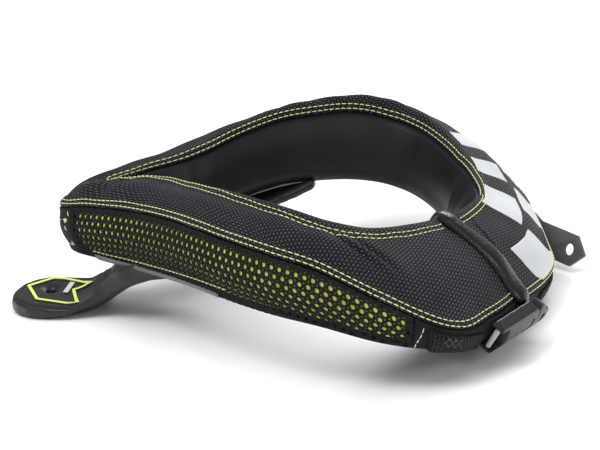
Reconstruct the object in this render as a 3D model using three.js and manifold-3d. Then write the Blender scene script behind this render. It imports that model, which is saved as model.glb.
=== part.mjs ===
// Motocross neck brace: a soft race collar that is worn round the neck under a helmet.
// A padded ring, pointed at the back and broad at the front, closes with a buckle at the front,
// and a moulded yoke under its back half ends in a tongue that lies on the spine.
// Millimetres, +Z up. The collar is drawn with the rear point of its neck opening at the origin
// and +X towards the closure, then leaned until tongue and front stand on the floor.
import * as THREE from 'three';
import { mergeVertices } from 'three/addons/utils/BufferGeometryUtils.js';
import Module from 'manifold-3d';

const wasm = await Module();
wasm.setup();

// Driving dimensions
const crownLength = 238;
const crownHalfWidth = 115;
const crownRise = 36;
const panelReach = 51;
const panelFall = 50;
const wallHeight = 46;
const wallUndercut = 8;
const neckLean = 18;
const neckDepth = 55;

const clearance = 0.3;
const coverThickness = 2.5;
const meshThickness = 1.2;
const topPuff = 4;
const wallPuff = 4.5;
const linerPuff = 2;
const stationsPerRow = 2;

const closureInner = { x: 222, y: -57 };
const closureTurn = -6;
const capWidth = 15;
const capProud = 3.5;

const webbingThickness = 1.8;
const keeperThickness = 1.4;
const buckleLength = 44;
const buckleWidth = 21;
const buckleThickness = 7.5;
const latchHeadLength = 12;
const barDiameter = 3.4;

const tabWidth = 21;
const tabThickness = 2;
const tabHole = 8;
const tabPoint = 10;
const tabReach = 46.5;
const tabHoleInset = 14;
const tabHeading = -41.7;
const tabTilt = 20;

const tongueLength = 72;
const tongueHalfWidth = 29.5;
const yokeDepth = 92;
const outlineWidth = 2.2;
const outlineHeight = 0.8;
const eyeletHole = 7;
const eyeletRecess = 14;
const recessDepth = 1.6;
const labelLength = 17;
const labelWidth = 3.5;

// The half ring from its rear point to its front, a row for each section. crownX, crownY and
// crownZ are shares of crownLength, crownHalfWidth and crownRise. aim is the way that the
// section faces in degrees, 180 to the back and 0 to the front. reach and fall are the top
// panel's shares of panelReach and panelFall, undercut and wall those of the outer wall,
// and lean and depth those of the neck's wall.
const ringRows = [
  { crownX: 0.000, crownY: 0.000, crownZ: 0.10, aim: 180, reach: 0.76, fall: 0.40,
    undercut: 1.00, wall: 0.77, lean: 0.88, depth: 0.87 },
  { crownX: 0.084, crownY: 0.083, crownZ: 0.30, aim: 159, reach: 0.71, fall: 0.37,
    undercut: 0.75, wall: 0.90, lean: 0.82, depth: 0.88 },
  { crownX: 0.181, crownY: 0.217, crownZ: 0.49, aim: 141, reach: 0.58, fall: 0.36,
    undercut: 0.50, wall: 0.99, lean: 0.78, depth: 0.85 },
  { crownX: 0.286, crownY: 0.470, crownZ: 0.74, aim: 139, reach: 0.45, fall: 0.41,
    undercut: 0.50, wall: 1.02, lean: 0.78, depth: 0.84 },
  { crownX: 0.382, crownY: 0.670, crownZ: 0.91, aim: 131, reach: 0.42, fall: 0.45,
    undercut: 0.50, wall: 1.01, lean: 0.83, depth: 0.91 },
  { crownX: 0.471, crownY: 0.809, crownZ: 0.98, aim: 124, reach: 0.44, fall: 0.47,
    undercut: 0.50, wall: 1.00, lean: 0.89, depth: 1.00 },
  { crownX: 0.580, crownY: 0.948, crownZ: 1.00, aim: 113, reach: 0.46, fall: 0.47,
    undercut: 0.60, wall: 0.98, lean: 1.00, depth: 1.08 },
  { crownX: 0.685, crownY: 1.000, crownZ: 0.89, aim: 94, reach: 0.49, fall: 0.48,
    undercut: 0.50, wall: 0.90, lean: 1.05, depth: 1.08 },
  { crownX: 0.782, crownY: 0.930, crownZ: 0.72, aim: 68, reach: 0.80, fall: 0.65,
    undercut: 0.60, wall: 0.70, lean: 1.10, depth: 1.00 },
  { crownX: 0.866, crownY: 0.730, crownZ: 0.58, aim: 60, reach: 1.20, fall: 0.88,
    undercut: 0.90, wall: 0.46, lean: 1.10, depth: 0.92 },
  { crownX: 0.924, crownY: 0.522, crownZ: 0.47, aim: 52, reach: 1.25, fall: 0.96,
    undercut: 1.40, wall: 0.46, lean: 1.10, depth: 0.88 },
  { crownX: 0.966, crownY: 0.304, crownZ: 0.38, aim: 29, reach: 1.02, fall: 0.98,
    undercut: 1.70, wall: 0.52, lean: 1.15, depth: 0.91 },
  { crownX: 1.000, crownY: 0.000, crownZ: 0.31, aim: 0, reach: 1.00, fall: 1.00,
    undercut: 1.80, wall: 0.56, lean: 1.15, depth: 0.94 },
];
const lastRow = ringRows.length - 1;

// A section's outline runs lip, neck wall, crown, top panel, hem, outer wall, base, underside.
// The rows below are the lip's corner, the crown's, the hem's and the base's. cut is how far
// a corner's round reaches along its sides, rounds its points, and steps and puff are the
// points and the swell of the side that follows it, which swells with the wall's height or not.
const corners = [
  { cut: 9, rounds: 3, steps: 3, puff: linerPuff },
  { cut: 9, rounds: 4, steps: 3, puff: topPuff },
  { cut: 6, rounds: 3, steps: 4, puff: wallPuff, swells: true },
  { cut: 6, rounds: 3, steps: 2, puff: 0 },
];
// Places on that outline, counted in its points
const outlinePlaces = { lipEnd: 2, panelTop: 7.1, panelHem: 14.45, wallHem: 14.55, wallBase: 21 };

// The yoke's sections along X, from the tongue's tip to the ends of its arms. x is a share of
// tongueLength, half of tongueHalfWidth. The heights of its top and underside, at the middle
// and at the rim, are shares of yokeDepth below the ring's rear point.
const yokeRows = [
  { x: -1.000, half: 0.14, topMiddle: 0.913, topRim: 0.913, underMiddle: 0.989, underRim: 0.989 },
  { x: -0.965, half: 0.47, topMiddle: 0.908, topRim: 0.902, underMiddle: 1.011, underRim: 1.005 },
  { x: -0.889, half: 0.71, topMiddle: 0.904, topRim: 0.897, underMiddle: 1.011, underRim: 1.002 },
  { x: -0.764, half: 0.92, topMiddle: 0.902, topRim: 0.895, underMiddle: 1.003, underRim: 0.992 },
  { x: -0.583, half: 1.00, topMiddle: 0.902, topRim: 0.895, underMiddle: 0.992, underRim: 0.982 },
  { x: -0.361, half: 1.00, topMiddle: 0.902, topRim: 0.886, underMiddle: 0.976, underRim: 0.940 },
  { x: -0.167, half: 0.97, topMiddle: 0.859, topRim: 0.783, underMiddle: 0.940, underRim: 0.848 },
  { x: -0.028, half: 1.02, topMiddle: 0.783, topRim: 0.641, underMiddle: 0.875, underRim: 0.761 },
  { x: 0.090, half: 1.22, topMiddle: 0.696, topRim: 0.533, underMiddle: 0.793, underRim: 0.663 },
  { x: 0.208, half: 1.49, topMiddle: 0.620, topRim: 0.467, underMiddle: 0.717, underRim: 0.571 },
  { x: 0.333, half: 1.80, topMiddle: 0.565, topRim: 0.413, underMiddle: 0.658, underRim: 0.489 },
  { x: 0.444, half: 2.03, topMiddle: 0.522, topRim: 0.380, underMiddle: 0.609, underRim: 0.451 },
  { x: 0.750, half: 2.44, topMiddle: 0.457, topRim: 0.326, underMiddle: 0.543, underRim: 0.402 },
  { x: 1.153, half: 2.85, topMiddle: 0.370, topRim: 0.272, underMiddle: 0.424, underRim: 0.370 },
  { x: 1.472, half: 3.12, topMiddle: 0.283, topRim: 0.239, underMiddle: 0.337, underRim: 0.337 },
  { x: 1.639, half: 3.29, topMiddle: 0.217, topRim: 0.196, underMiddle: 0.261, underRim: 0.304 },
];
const yokeSteps = 10;
const eyeletPlace = { x: -48.5, y: 7 };
const labelPlace = { x: -36.5, y: 9 };
// The outline's corners on the tongue, as shares of tongueLength and tongueHalfWidth
const outlineCorners = [
  { x: -0.89, y: 0.25 },
  { x: -0.72, y: -0.46 },
  { x: -0.31, y: -0.64 },
  { x: -0.45, y: 0.20 },
  { x: -0.33, y: 0.58 },
  { x: -0.60, y: 0.78 },
  { x: -0.71, y: 0.76 },
];

// The buckle's seat beside the hem, its heading and the tilt that the wall's lean gives it
const buckleSeat = { place: -10.74, spot: 14.85, stand: 4 };
const buckleHeading = 65;
const buckleTilt = 30;

// The webbing on the outer wall, as places along the ring and spots on its outline
const nearWebbing = { first: -9.88, last: -8.86, from: 15.4, to: 21, every: 5 };
const frontWebbing = { first: -12.9, last: -11.55, from: 15.4, to: 19.8, every: 5 };
const webbingKeeper = { first: -8.96, last: -8.72, from: 15.4, to: 20.6, every: 5 };

// The stretch of the tab that lies on the far wall. stand is its gap behind in mm, and width
// its share of tabWidth.
const tabSpot = 17;
const tabSeats = [
  { place: 10.15, stand: 0.3, width: 0.5 },
  { place: 10.45, stand: 0.9, width: 0.8 },
  { place: 10.72, stand: 1.9, width: 1.0 },
];

function finish(color, roughness, metalness = 0) {
  return new THREE.MeshStandardMaterial({ color, roughness, metalness });
}

const finishes = {
  liner: finish(0x25262b, 0.8),
  weave: finish(0x2c2d33, 0.75),
  mesh: finish(0x1b1c1f, 0.8),
  underlay: finish(0xb8c83a, 0.7),
  leatherette: finish(0x161618, 0.25),
  yoke: finish(0x2a2a30, 0.55),
  outline: finish(0xc8dc4a, 0.6),
  label: finish(0xe4e6ea, 0.6),
  webbing: finish(0x232428, 0.8),
  plastic: finish(0x1c1d20, 0.35),
  bar: finish(0xa9abad, 0.4),
  tab: finish(0x484a4c, 0.5),
};

// Catmull-Rom through one quantity of the ring's rows. place is 0 at the rear point, and runs to
// lastRow at the front on the far side and to -lastRow on the near side, where odd values mirror.
function blend(place, odd, value) {
  const row = Math.floor(place);
  const t = place - row;
  const at = (index) => {
    const turns = 2 * lastRow;
    const wrapped = ((index + lastRow) % turns + turns) % turns - lastRow;
    const found = value(ringRows[Math.abs(wrapped)]);
    return odd && wrapped < 0 ? -found : found;
  };
  const [a, b, c, d] = [at(row - 1), at(row), at(row + 1), at(row + 2)];
  return b + 0.5 * t * (c - a + t * (2 * a - 5 * b + 4 * c - d + t * (3 * (b - c) + d - a)));
}

function sectionAt(place) {
  const outX = blend(place, false, (row) => row.reach * panelReach * Math.cos(THREE.MathUtils.degToRad(row.aim)));
  const outY = blend(place, true, (row) => row.reach * panelReach * Math.sin(THREE.MathUtils.degToRad(row.aim)));
  const reach = Math.hypot(outX, outY);
  const fall = blend(place, false, (row) => row.fall) * panelFall;
  const undercut = blend(place, false, (row) => row.undercut) * wallUndercut;
  const wallShare = blend(place, false, (row) => row.wall);
  return {
    wallShare,
    crown: new THREE.Vector3(
      blend(place, false, (row) => row.crownX) * crownLength,
      blend(place, true, (row) => row.crownY) * crownHalfWidth,
      blend(place, false, (row) => row.crownZ) * crownRise,
    ),
    out: new THREE.Vector3(outX / reach, outY / reach, 0),
    points: [
      new THREE.Vector2(-blend(place, false, (row) => row.lean) * neckLean,
        -blend(place, false, (row) => row.depth) * neckDepth),
      new THREE.Vector2(0, 0),
      new THREE.Vector2(reach, -fall),
      new THREE.Vector2(reach - undercut, -fall - wallShare * wallHeight),
    ],
  };
}

// The flat outline of a section, across (towards the outside) and up
function outlineOf(section) {
  const count = section.points.length;
  const sides = section.points.map((point, index) => {
    const next = section.points[(index + 1) % count];
    const length = point.distanceTo(next);
    return { length, way: next.clone().sub(point).divideScalar(length) };
  });
  const outline = [];
  for (let index = 0; index < count; index += 1) {
    const corner = section.points[index];
    const before = sides[(index + count - 1) % count];
    const after = sides[index];
    const { cut, rounds, steps, puff, swells } = corners[index];
    const swell = swells ? puff * section.wallShare ** 2 : puff;
    const start = corner.clone().addScaledVector(before.way, -cut);
    const end = corner.clone().addScaledVector(after.way, cut);
    for (let round = 0; round < rounds; round += 1) {
      const t = round / (rounds - 1);
      const point = start.clone().multiplyScalar((1 - t) ** 2);
      point.addScaledVector(corner, 2 * t * (1 - t)).addScaledVector(end, t ** 2);
      outline.push(point);
    }
    const nextCut = corners[(index + 1) % count].cut;
    const run = after.length - cut - nextCut;
    const outward = new THREE.Vector2(-after.way.y, after.way.x);
    for (let step = 1; step <= steps; step += 1) {
      const t = step / (steps + 1);
      const point = end.clone().addScaledVector(after.way, run * t);
      outline.push(point.addScaledVector(outward, swell * 4 * t * (1 - t)));
    }
  }
  return outline;
}

function outlineNormals(outline) {
  return outline.map((point, index) => {
    const before = outline[(index + outline.length - 1) % outline.length];
    const after = outline[(index + 1) % outline.length];
    const way = after.clone().sub(before).normalize();
    return new THREE.Vector2(-way.y, way.x);
  });
}

function lift(section, flat) {
  return section.crown.clone().addScaledVector(section.out, flat.x).add(new THREE.Vector3(0, 0, flat.y));
}

// A point on the ring's outer surface: spot counts the outline's points, offset stands proud
function skinPoint(place, spot, offset = 0) {
  const section = sectionAt(place);
  const outline = outlineOf(section);
  const normals = outlineNormals(outline);
  const index = Math.floor(spot) % outline.length;
  const next = (index + 1) % outline.length;
  const t = spot - Math.floor(spot);
  const normal = normals[index].clone().lerp(normals[next], t).normalize();
  return lift(section, outline[index].clone().lerp(outline[next], t).addScaledVector(normal, offset));
}

function solidOf(geometry) {
  const bare = geometry.clone();
  for (const name of Object.keys(bare.attributes)) {
    if (name !== 'position') {
      bare.deleteAttribute(name);
    }
  }
  const merged = mergeVertices(bare, 1e-4);
  return new wasm.Manifold(new wasm.Mesh({
    numProp: 3,
    vertProperties: new Float32Array(merged.attributes.position.array),
    triVerts: new Uint32Array(merged.index.array),
  }));
}

function geometryOf(solid) {
  const mesh = solid.getMesh();
  const geometry = new THREE.BufferGeometry();
  geometry.setAttribute('position', new THREE.BufferAttribute(new Float32Array(mesh.vertProperties), 3));
  geometry.setIndex(new THREE.BufferAttribute(new Uint32Array(mesh.triVerts), 1));
  geometry.computeVertexNormals();
  return geometry;
}

// A closed body through loops with equal counts. A ring joins its last loop to its first.
// A layered loop is an outer run and then an inner run backwards, split along the same
// diagonals, which is also how open ends are closed.
function loft(loops, ring, layered) {
  const size = loops[0].length;
  const positions = loops.flat().flatMap((point) => [point.x, point.y, point.z]);
  const faces = [];
  const spans = ring ? loops.length : loops.length - 1;
  for (let loop = 0; loop < spans; loop += 1) {
    const here = loop * size;
    const there = ((loop + 1) % loops.length) * size;
    for (let index = 0; index < size; index += 1) {
      const next = (index + 1) % size;
      if (layered && index >= size / 2) {
        faces.push(here + index, there + index, here + next, there + index, there + next, here + next);
      } else {
        faces.push(here + index, there + index, there + next, here + index, there + next, here + next);
      }
    }
  }
  if (!ring) {
    const last = (loops.length - 1) * size;
    for (let index = 0; index < size / 2 - 1; index += 1) {
      const back = size - 1 - index;
      faces.push(index, index + 1, back - 1, index, back - 1, back);
      faces.push(last + index, last + back - 1, last + index + 1, last + index, last + back, last + back - 1);
    }
  }
  const geometry = new THREE.BufferGeometry();
  geometry.setAttribute('position', new THREE.Float32BufferAttribute(positions, 3));
  geometry.setIndex(signedVolume(positions, faces) < 0 ? faces.reverse() : faces);
  geometry.computeVertexNormals();
  return geometry;
}

function signedVolume(positions, faces) {
  const corner = (index) => new THREE.Vector3().fromArray(positions, faces[index] * 3);
  let volume = 0;
  for (let index = 0; index < faces.length; index += 3) {
    volume += corner(index).dot(corner(index + 1).cross(corner(index + 2))) / 6;
  }
  return volume;
}

// The ring's whole body, its outline moved outwards by shift(index)
function ringBody(shift) {
  const loops = [];
  for (let station = 0; station < 2 * lastRow * stationsPerRow; station += 1) {
    const section = sectionAt(station / stationsPerRow - lastRow);
    const outline = outlineOf(section);
    const normals = outlineNormals(outline);
    const moved = outline.map((point, index) => point.clone().addScaledVector(normals[index], shift(index)));
    loops.push(moved.map((point) => lift(section, point)));
  }
  return solidOf(loft(loops, true, false));
}

// A layer of cloth on the ring between two spots of its outline, from depth below the skin to
// proud above it, along places from first to last, or all the way round
function ringLayer({ first, last, round = false, from, to, proud = 0, depth, every = stationsPerRow }) {
  const spots = [from];
  for (let spot = Math.floor(from) + 1; spot < to; spot += 1) {
    spots.push(spot);
  }
  spots.push(to);
  const count = Math.max(1, Math.round((last - first) * every));
  const loops = [];
  for (let step = 0; step <= (round ? count - 1 : count); step += 1) {
    const place = first + ((last - first) * step) / count;
    const outer = spots.map((spot) => skinPoint(place, spot, proud));
    const inner = spots.map((spot) => skinPoint(place, spot, -depth));
    loops.push([...outer, ...inner.reverse()]);
  }
  return loft(loops, round, true);
}

// The closure: a slab across the ring's near front, from offset below to offset above its middle
function closureSlab(low, high) {
  const reach = 2 * crownLength;
  const slab = new THREE.BoxGeometry(reach, high - low, reach);
  slab.translate(reach / 2 - panelReach, (low + high) / 2, 0);
  slab.rotateZ(THREE.MathUtils.degToRad(closureTurn));
  slab.translate(closureInner.x, closureInner.y, 0);
  return solidOf(slab);
}

const brace = new THREE.Group();

function piece(name, geometry, material, parent = brace) {
  const mesh = new THREE.Mesh(geometry, material);
  mesh.name = name;
  parent.add(mesh);
  return mesh;
}

const closureGap = closureSlab(-capWidth / 2 - clearance, capWidth / 2 + clearance);
const coveredSpots = (index) => index >= Math.floor(outlinePlaces.panelTop) && index <= outlinePlaces.wallBase;

function addRing() {
  const pad = ringBody((index) => (coveredSpots(index) ? -coverThickness - clearance : 0));
  piece('foam_pad', geometryOf(pad.subtract(closureGap)), finishes.liner);
  const panel = ringLayer({
    first: -lastRow, last: lastRow, round: true,
    from: outlinePlaces.panelTop, to: outlinePlaces.panelHem, depth: coverThickness,
  });
  piece('top_panel', geometryOf(solidOf(panel).subtract(closureGap)), finishes.weave);
}

// Where the outer wall changes from one cloth to the next, as places on the ring
const meshStart = 0.62;
const meshEnd = 8.45;
const clothGap = 0.012;

function addSides() {
  const wall = { from: outlinePlaces.wallHem, to: outlinePlaces.wallBase };
  for (const side of [{ name: 'near', sign: -1 }, { name: 'far', sign: 1 }]) {
    const [first, last] = [side.sign * meshStart, side.sign * meshEnd].sort((a, b) => a - b);
    piece(`side_mesh_${side.name}`, ringLayer({ ...wall, first, last, depth: meshThickness }), finishes.mesh);
    piece(`side_underlay_${side.name}`, ringLayer({
      ...wall, first, last, proud: -meshThickness - clearance, depth: coverThickness,
    }), finishes.underlay);
  }
  piece('tail_patch', ringLayer({
    ...wall, first: -meshStart + clothGap, last: meshStart - clothGap, depth: coverThickness, every: 6.5,
  }), finishes.weave);
  const frontWall = ringLayer({
    ...wall, first: meshEnd + clothGap, last: 2 * lastRow - meshEnd - clothGap, depth: coverThickness,
  });
  const halves = solidOf(frontWall).subtract(closureGap).decompose();
  halves.sort((a, b) => b.volume() - a.volume());
  piece('front_patch', geometryOf(halves[0]), finishes.weave);
  piece('near_front_patch', geometryOf(halves[1]), finishes.weave);
}

function addSeamCap() {
  const proud = (index) => {
    if (index >= outlinePlaces.wallBase || index < outlinePlaces.lipEnd) {
      return 0;
    }
    return index > outlinePlaces.wallHem ? capProud / 4 : capProud;
  };
  const roll = ringBody(proud).intersect(closureSlab(-capWidth / 2, capWidth / 2));
  piece('seam_cap', geometryOf(roll), finishes.leatherette);
}

// Yoke and tongue

const holeLap = 1;
const rimRound = 0.93;
const mitreLimit = 2.2;
const outlineStep = 8;
const holeSides = 20;
const yokeEdges = yokeRows.map((row) => ({ ...row, x: row.x * tongueLength, half: row.half * tongueHalfWidth }));

// The tongue's top surface, straight between the rows
function yokeTop(x, y) {
  const next = Math.max(1, yokeEdges.findIndex((row) => row.x >= x));
  const [low, high] = [yokeEdges[next - 1], yokeEdges[next]];
  const t = (x - low.x) / (high.x - low.x);
  const mix = (name) => THREE.MathUtils.lerp(low[name], high[name], t);
  const middle = mix('topMiddle');
  const bow = (y / mix('half')) ** 2;
  return -(middle + (mix('topRim') - middle) * bow) * yokeDepth;
}

function addYoke() {
  const loops = yokeEdges.map((row) => {
    const top = [];
    const under = [];
    for (let step = 0; step <= yokeSteps; step += 1) {
      const across = (2 * step) / yokeSteps - 1;
      const topShare = row.topMiddle + (row.topRim - row.topMiddle) * across ** 2;
      const underShare = row.underMiddle + (row.underRim - row.underMiddle) * across ** 4;
      top.push(new THREE.Vector3(row.x, across * row.half, -topShare * yokeDepth));
      under.push(new THREE.Vector3(row.x, across * row.half * rimRound, -underShare * yokeDepth));
    }
    return [...top, ...under.reverse()];
  });
  const body = solidOf(loft(loops, false, false));
  const hole = new THREE.Shape();
  for (let station = 0; station < 2 * lastRow * stationsPerRow; station += 1) {
    const section = sectionAt(station / stationsPerRow - lastRow);
    const lip = lift(section, new THREE.Vector2(section.points[0].x - holeLap, 0));
    hole[station === 0 ? 'moveTo' : 'lineTo'](lip.x, lip.y);
  }
  const holeGeometry = new THREE.ExtrudeGeometry(hole, { depth: 2 * yokeDepth, bevelEnabled: false });
  const neckHole = solidOf(holeGeometry.translate(0, 0, -2 * yokeDepth));
  const eyelet = new THREE.CylinderGeometry(eyeletHole / 2, eyeletHole / 2, yokeDepth, holeSides);
  eyelet.rotateX(Math.PI / 2).translate(eyeletPlace.x, eyeletPlace.y, -yokeDepth);
  const recess = new THREE.CylinderGeometry(eyeletRecess / 2, eyeletRecess / 2, yokeDepth, holeSides);
  recess.rotateX(Math.PI / 2);
  recess.translate(eyeletPlace.x, eyeletPlace.y, yokeTop(eyeletPlace.x, 0) + yokeDepth / 2 - recessDepth);
  const yoke = body.subtract(ringBody(() => clearance)).subtract(neckHole)
    .subtract(solidOf(eyelet)).subtract(solidOf(recess));
  const parts = yoke.decompose().sort((a, b) => b.volume() - a.volume());
  piece('back_yoke', geometryOf(parts[0]), finishes.yoke);
}

// A flat strip on the tongue along corners that are shares of tongueLength and tongueHalfWidth
function tongueStrip(path, width, closed) {
  const count = path.length;
  const loops = path.map((corner, index) => {
    const point = new THREE.Vector2(corner.x, corner.y);
    const before = closed || index > 0 ? path[(index + count - 1) % count] : corner;
    const after = closed || index < count - 1 ? path[(index + 1) % count] : corner;
    const wayIn = point.clone().sub(new THREE.Vector2(before.x, before.y)).normalize();
    const wayOut = new THREE.Vector2(after.x, after.y).sub(point).normalize();
    const way = wayIn.clone().add(wayOut).normalize();
    const side = wayOut.lengthSq() > 0 ? wayOut : wayIn;
    const stretch = Math.min(mitreLimit, 1 / way.dot(side));
    const aside = new THREE.Vector2(-way.y, way.x).multiplyScalar((width / 2) * stretch);
    const seat = (flat) => yokeTop(flat.x, flat.y) + clearance;
    const left = point.clone().add(aside);
    const right = point.clone().sub(aside);
    return [
      new THREE.Vector3(left.x, left.y, seat(left) + outlineHeight),
      new THREE.Vector3(right.x, right.y, seat(right) + outlineHeight),
      new THREE.Vector3(right.x, right.y, seat(right)),
      new THREE.Vector3(left.x, left.y, seat(left)),
    ];
  });
  return loft(loops, closed, true);
}

function addTongueMarks() {
  const corners = outlineCorners.map(({ x, y }) => ({ x: x * tongueLength, y: y * tongueHalfWidth }));
  const path = corners.flatMap((corner, index) => {
    const next = corners[(index + 1) % corners.length];
    const steps = Math.max(1, Math.round(Math.hypot(next.x - corner.x, next.y - corner.y) / outlineStep));
    return Array.from({ length: steps }, (_, step) => ({
      x: THREE.MathUtils.lerp(corner.x, next.x, step / steps),
      y: THREE.MathUtils.lerp(corner.y, next.y, step / steps),
    }));
  });
  piece('tongue_outline', tongueStrip(path, outlineWidth, true), finishes.outline);
  const half = labelLength / 2;
  const label = [-1, 0, 1].map((side) => ({ x: labelPlace.x, y: labelPlace.y + side * half }));
  piece('tongue_label', tongueStrip(label, labelWidth, false), finishes.label);
}

// Straps, buckle and tab

function addStraps() {
  const onWall = { depth: -clearance, proud: clearance + webbingThickness };
  piece('webbing_near', ringLayer({ ...nearWebbing, ...onWall }), finishes.webbing);
  piece('webbing_front', ringLayer({ ...frontWebbing, ...onWall }), finishes.webbing);
  const stand = 2 * clearance + webbingThickness;
  piece('strap_keeper', ringLayer({
    ...webbingKeeper, depth: -stand, proud: stand + keeperThickness,
  }), finishes.webbing);
}

function slab(outline, low, high) {
  const geometry = new THREE.ExtrudeGeometry(outline, { depth: high - low, bevelEnabled: false, curveSegments: 4 });
  return solidOf(geometry.translate(0, 0, low));
}

function roundedOutline(fromX, toX, fromHalf, toHalf, radius) {
  const outline = new THREE.Shape();
  outline.moveTo(fromX + radius, -fromHalf);
  outline.lineTo(toX - radius, -toHalf);
  outline.quadraticCurveTo(toX, -toHalf, toX, -toHalf + radius);
  outline.lineTo(toX, toHalf - radius);
  outline.quadraticCurveTo(toX, toHalf, toX - radius, toHalf);
  outline.lineTo(fromX + radius, fromHalf);
  outline.quadraticCurveTo(fromX, fromHalf, fromX, fromHalf - radius);
  outline.lineTo(fromX, -fromHalf + radius);
  outline.quadraticCurveTo(fromX, -fromHalf, fromX + radius, -fromHalf);
  return outline;
}

// The buckle's inner sizes: its fork holds the adjuster bar, its pocket the latch's prong, and
// its window shows the latch's catch
const bodyFront = 6;
const bodyRound = 3.5;
const forkRim = 2.4;
const forkDepth = 9;
const forkWall = 4;
const pocketFloor = 1.8;
const pocketHeight = 3.2;
const pocketRim = 3.4;
const windowBack = 13;
const windowFront = 4;
const windowHalf = 4.5;
const headTaper = 3.5;
const headSlot = 3.4;
const headSlotInset = 3.6;
const smallRound = 1;
const cutPast = 5;

// The buckle lies along X of its own group, its width along Y, its outer face towards +Z
function addBuckle() {
  const buckle = new THREE.Group();
  const heading = THREE.MathUtils.degToRad(buckleHeading);
  const tilt = THREE.MathUtils.degToRad(buckleTilt);
  const along = new THREE.Vector3(Math.cos(heading), Math.sin(heading), 0);
  const aside = new THREE.Vector3(Math.sin(heading), -Math.cos(heading), 0);
  const across = aside.clone().multiplyScalar(Math.sin(tilt)).add(new THREE.Vector3(0, 0, Math.cos(tilt)));
  buckle.applyMatrix4(new THREE.Matrix4().makeBasis(along, across, along.clone().cross(across)));
  buckle.position.copy(skinPoint(buckleSeat.place, buckleSeat.spot, buckleSeat.stand));
  brace.add(buckle);

  const half = buckleWidth / 2;
  const back = bodyFront - buckleLength;
  const forkHalf = half - forkRim;
  const forkEnd = back + forkDepth;
  const pocketHalf = half - pocketRim;
  const pocketBack = forkEnd + forkWall;
  const pocketRoof = pocketFloor + pocketHeight;
  const above = buckleThickness + cutPast;
  const plate = slab(roundedOutline(back, bodyFront, half, half, bodyRound), 0, buckleThickness);
  const fork = slab(roundedOutline(back - cutPast, forkEnd, forkHalf, forkHalf, smallRound), -cutPast, above);
  const pocket = slab(
    roundedOutline(pocketBack, bodyFront + cutPast, pocketHalf, pocketHalf, smallRound), pocketFloor, pocketRoof,
  );
  const window = slab(
    roundedOutline(bodyFront - windowBack, bodyFront - windowFront, windowHalf, windowHalf, smallRound),
    pocketFloor, above,
  );
  piece('buckle_body', geometryOf(plate.subtract(fork).subtract(pocket).subtract(window)), finishes.plastic, buckle);

  const headBack = bodyFront + clearance;
  const headFront = headBack + latchHeadLength;
  const head = slab(roundedOutline(headBack, headFront, half, half - headTaper, bodyRound), 0, buckleThickness);
  const prongHalf = pocketHalf - clearance;
  const prong = slab(
    roundedOutline(pocketBack + clearance, headBack + smallRound, prongHalf, prongHalf, smallRound / 2),
    pocketFloor + clearance, pocketRoof - clearance,
  );
  const catchHalf = windowHalf - clearance;
  const catchPad = slab(
    roundedOutline(bodyFront - windowBack + clearance, bodyFront - windowFront - clearance, catchHalf, catchHalf,
      smallRound / 2), pocketFloor + clearance, buckleThickness - clearance,
  );
  const slotFront = headFront - headSlotInset;
  const slotHalf = half - 2 * headTaper;
  const slot = slab(roundedOutline(slotFront - headSlot, slotFront, slotHalf, slotHalf, smallRound), -cutPast, above);
  piece('buckle_latch', geometryOf(head.add(prong).add(catchPad).subtract(slot)), finishes.plastic, buckle);

  const bar = new THREE.CylinderGeometry(barDiameter / 2, barDiameter / 2, 2 * (forkHalf - clearance), holeSides);
  const barMesh = piece('adjuster_bar', bar, finishes.bar, buckle);
  barMesh.position.set(back + barDiameter, 0, buckleThickness - barDiameter);
}

// The tab runs along the far wall, then straight on past it to a pointed end with a hole
const tabShoulder = 6;
const tabTipHalf = 0.6;

function addTab() {
  const half = tabWidth / 2;
  const heading = THREE.MathUtils.degToRad(tabHeading);
  const tilt = THREE.MathUtils.degToRad(tabTilt);
  const seats = tabSeats.map(({ place, stand, width }) => ({
    centre: skinPoint(place, tabSpot, clearance + tabThickness / 2 + stand),
    up: skinPoint(place, tabSpot - 1).sub(skinPoint(place, tabSpot + 1)).normalize(),
    half: width * half,
  }));
  const bend = seats[seats.length - 1].centre;
  const way = new THREE.Vector3(Math.cos(heading), Math.sin(heading), 0);
  const aside = new THREE.Vector3(-way.y, way.x, 0);
  const up = aside.clone().multiplyScalar(Math.sin(tilt)).add(new THREE.Vector3(0, 0, Math.cos(tilt)));
  const straight = [
    { distance: tabShoulder, half },
    { distance: tabReach - tabPoint, half },
    { distance: tabReach, half: tabTipHalf },
  ].map((row) => ({ centre: bend.clone().addScaledVector(way, row.distance), up, half: row.half }));
  const stations = [...seats, ...straight];
  const loops = stations.map((station, index) => {
    const before = stations[Math.max(0, index - 1)].centre;
    const after = stations[Math.min(stations.length - 1, index + 1)].centre;
    const thick = after.clone().sub(before).cross(station.up).setLength(tabThickness / 2);
    const high = station.centre.clone().addScaledVector(station.up, station.half);
    const low = station.centre.clone().addScaledVector(station.up, -station.half);
    return [high.clone().add(thick), low.clone().add(thick), low.clone().sub(thick), high.clone().sub(thick)];
  });
  const hole = new THREE.CylinderGeometry(tabHole / 2, tabHole / 2, tabWidth, holeSides);
  hole.applyQuaternion(new THREE.Quaternion().setFromUnitVectors(
    new THREE.Vector3(0, 1, 0), way.clone().cross(up).normalize()));
  const holePlace = bend.clone().addScaledVector(way, tabReach - tabHoleInset);
  hole.translate(holePlace.x, holePlace.y, holePlace.z);
  const plate = solidOf(loft(loops, false, true)).subtract(solidOf(hole));
  piece('anchor_tab', geometryOf(plate), finishes.tab);
}

addRing();
addSides();
addSeamCap();
addYoke();
addTongueMarks();
addStraps();
addBuckle();
addTab();

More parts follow.
